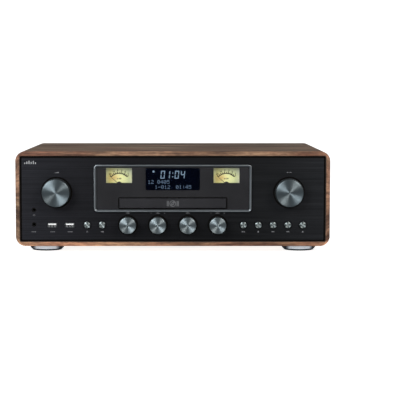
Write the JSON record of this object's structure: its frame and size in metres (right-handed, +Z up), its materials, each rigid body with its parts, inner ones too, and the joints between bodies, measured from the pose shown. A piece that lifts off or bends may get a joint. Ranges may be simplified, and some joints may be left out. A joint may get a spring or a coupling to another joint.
{
  "type": "mini hi-fi system",
  "caption": "Tabletop CD receiver in a walnut-wrapped cabinet with a black fascia, level meters, display, disc tray, knobs, push buttons and round chromed feet",
  "frame": {"origin": "middle of the bounding box's footprint, on the surface the feet stand on", "axes": "+X to the right seen from the front, +Y from the front to the back, +Z up; the fascia faces -Y"},
  "size_m": [0.43, 0.2936, 0.138],
  "materials": {
    "walnut_veneer": "satin walnut veneer, grain along the width",
    "folded_steel": "zinc plated sheet and steel parts",
    "black_steel": "fine textured black paint",
    "chromed_foot": "turned and chromed cup on a dark pad",
    "black_aluminium": "black anodised, fine horizontal lines",
    "dark_panel": "dark grey satin",
    "bezel_metal": "satin grey metal",
    "black_plastic": "fine moulded texture",
    "white_plastic": "natural acetal",
    "smoked_glass": "dark clear window",
    "display_face": "dark blue display with pale segments",
    "clear_lens": "clear acrylic",
    "dial_paper": "backlit cream dial in a moulded case",
    "needle_black": "matt black",
    "spun_aluminium": "spun face with a bright chamfer",
    "circuit_board": "green solder mask",
    "heatsink_aluminium": "plain extrusion",
    "transformer_steel": "varnished laminations and winding",
    "belt_rubber": "matt black rubber"
  },
  "bodies": {
    "housing": {"cabinet_sleeve": "walnut_veneer", "chassis_plate": "folded_steel", "back_panel": "black_steel", "foot_front_left": "chromed_foot", "foot_back_left": "chromed_foot", "foot_front_right": "chromed_foot", "foot_back_right": "chromed_foot", "front_fascia": "black_aluminium", "front_carrier": "black_plastic", "bezel_frame": "bezel_metal", "center_plate": "dark_panel", "display_window": "smoked_glass", "display_module": "display_face", "meter_case_left": "dial_paper", "meter_case_right": "dial_paper", "meter_lens_left": "clear_lens", "meter_lens_right": "clear_lens", "usb_port_left": "folded_steel", "usb_port_right": "folded_steel", "headphone_socket": "black_plastic", "aux_socket": "black_plastic", "control_board": "circuit_board", "loader_frame": "black_plastic", "drive_belt": "belt_rubber", "loader_motor": "folded_steel", "clamper_bridge": "folded_steel", "main_board": "circuit_board", "power_board": "circuit_board", "power_transformer": "transformer_steel", "amplifier_heatsink": "heatsink_aluminium", "line_sockets": "black_plastic", "speaker_sockets": "black_plastic", "aerial_socket": "folded_steel", "mains_inlet": "black_plastic"},
    "tray": {"cd_tray": "black_plastic", "tray_door": "dark_panel"},
    "tray_gear": {"tray_drive_gear": "white_plastic"},
    "motor_pulley": {"motor_pulley": "white_plastic"},
    "traverse": {"traverse_frame": "black_plastic", "spindle_motor": "folded_steel", "guide_rail_left": "folded_steel", "guide_rail_right": "folded_steel"},
    "turntable": {"turntable_hub": "white_plastic"},
    "pickup": {"laser_pickup": "black_plastic"},
    "clamp": {"clamp_puck": "black_plastic"},
    "needle_left": {"needle_left": "needle_black"},
    "needle_right": {"needle_right": "needle_black"},
    "knob_left": {"knob_left": "spun_aluminium"},
    "knob_right": {"knob_right": "spun_aluminium"},
    "bass_knob": {"bass_knob": "spun_aluminium"},
    "treble_knob": {"treble_knob": "spun_aluminium"},
    "balance_knob": {"balance_knob": "spun_aluminium"},
    "menu_knob": {"menu_knob": "spun_aluminium"},
    "button_power": {"button_power": "spun_aluminium"},
    "button_source": {"button_source": "spun_aluminium"},
    "button_play": {"button_play": "spun_aluminium"},
    "button_stop": {"button_stop": "spun_aluminium"},
    "button_back": {"button_back": "spun_aluminium"},
    "button_next": {"button_next": "spun_aluminium"},
    "button_eject": {"button_eject": "spun_aluminium"}
  },
  "joints": [
    {"name": "tray_slide", "type": "slide", "parent": "housing", "child": "tray", "axis": [0, -1, 0], "range_m": [0, 0.132]},
    {"name": "tray_gear_spin", "type": "hinge", "parent": "housing", "child": "tray_gear", "pos_m": [-0.05475, -0.10125, 0.0616], "axis": [0, 0, -1], "range_deg": [0, 865]},
    {"name": "motor_spin", "type": "hinge", "parent": "housing", "child": "motor_pulley", "pos_m": [-0.05475, -0.05725, 0.0556], "axis": [0, 0, -1], "range_deg": [0, 2595]},
    {"name": "traverse_tilt", "type": "hinge", "parent": "housing", "child": "traverse", "pos_m": [0, 0.01875, 0.05325], "axis": [1, 0, 0], "range_deg": [0, 5.01]},
    {"name": "turntable_spin", "type": "hinge", "parent": "traverse", "child": "turntable", "pos_m": [0, -0.06125, 0.0666], "axis": [0, 0, 1], "continuous": true},
    {"name": "clamp_spin", "type": "hinge", "parent": "housing", "child": "clamp", "pos_m": [0, -0.06125, 0.075], "axis": [0, 0, 1], "continuous": true},
    {"name": "pickup_slide", "type": "slide", "parent": "traverse", "child": "pickup", "axis": [0, 1, 0], "range_m": [0, 0.034]},
    {"name": "needle_left_swing", "type": "hinge", "parent": "housing", "child": "needle_left", "pos_m": [-0.0735, -0.12625, 0.0923], "axis": [0, 1, 0], "range_deg": [0, 96], "stiffness_Nm_per_rad": 0.0005, "springref_deg": -5.73},
    {"name": "needle_right_swing", "type": "hinge", "parent": "housing", "child": "needle_right", "pos_m": [0.0735, -0.12625, 0.0923], "axis": [0, 1, 0], "range_deg": [0, 96], "stiffness_Nm_per_rad": 0.0005, "springref_deg": -5.73},
    {"name": "knob_left_turn", "type": "hinge", "parent": "housing", "child": "knob_left", "pos_m": [-0.159, -0.13125, 0.0815], "axis": [0, 1, 0], "continuous": true},
    {"name": "knob_right_turn", "type": "hinge", "parent": "housing", "child": "knob_right", "pos_m": [0.159, -0.13125, 0.0815], "axis": [0, 1, 0], "continuous": true},
    {"name": "bass_knob_turn", "type": "hinge", "parent": "housing", "child": "bass_knob", "pos_m": [-0.0615, -0.13125, 0.037], "axis": [0, 1, 0], "range_deg": [-140, 140]},
    {"name": "treble_knob_turn", "type": "hinge", "parent": "housing", "child": "treble_knob", "pos_m": [-0.0205, -0.13125, 0.037], "axis": [0, 1, 0], "range_deg": [-140, 140]},
    {"name": "balance_knob_turn", "type": "hinge", "parent": "housing", "child": "balance_knob", "pos_m": [0.0205, -0.13125, 0.037], "axis": [0, 1, 0], "range_deg": [-140, 140]},
    {"name": "menu_knob_turn", "type": "hinge", "parent": "housing", "child": "menu_knob", "pos_m": [0.0615, -0.13125, 0.037], "axis": [0, 1, 0], "range_deg": [-140, 140]},
    {"name": "button_power_press", "type": "slide", "parent": "housing", "child": "button_power", "axis": [0, 1, 0], "range_m": [0, 0.0008], "stiffness_N_per_m": 800, "springref_m": -0.0005},
    {"name": "button_source_press", "type": "slide", "parent": "housing", "child": "button_source", "axis": [0, 1, 0], "range_m": [0, 0.0008], "stiffness_N_per_m": 800, "springref_m": -0.0005},
    {"name": "button_play_press", "type": "slide", "parent": "housing", "child": "button_play", "axis": [0, 1, 0], "range_m": [0, 0.0008], "stiffness_N_per_m": 800, "springref_m": -0.0005},
    {"name": "button_stop_press", "type": "slide", "parent": "housing", "child": "button_stop", "axis": [0, 1, 0], "range_m": [0, 0.0008], "stiffness_N_per_m": 800, "springref_m": -0.0005},
    {"name": "button_back_press", "type": "slide", "parent": "housing", "child": "button_back", "axis": [0, 1, 0], "range_m": [0, 0.0008], "stiffness_N_per_m": 800, "springref_m": -0.0005},
    {"name": "button_next_press", "type": "slide", "parent": "housing", "child": "button_next", "axis": [0, 1, 0], "range_m": [0, 0.0008], "stiffness_N_per_m": 800, "springref_m": -0.0005},
    {"name": "button_eject_press", "type": "slide", "parent": "housing", "child": "button_eject", "axis": [0, 1, 0], "range_m": [0, 0.0008], "stiffness_N_per_m": 800, "springref_m": -0.0005}
  ],
  "couplings": [
    {"joint": "tray_gear_spin", "follows": "tray_slide", "rad_per_m": 114.29},
    {"joint": "motor_spin", "follows": "tray_slide", "rad_per_m": 342.86},
    {"joint": "traverse_tilt", "follows": "tray_slide", "rad_per_m": 0.66111},
    {"joint": "clamp_spin", "follows": "turntable_spin", "ratio": 1}
  ]
}
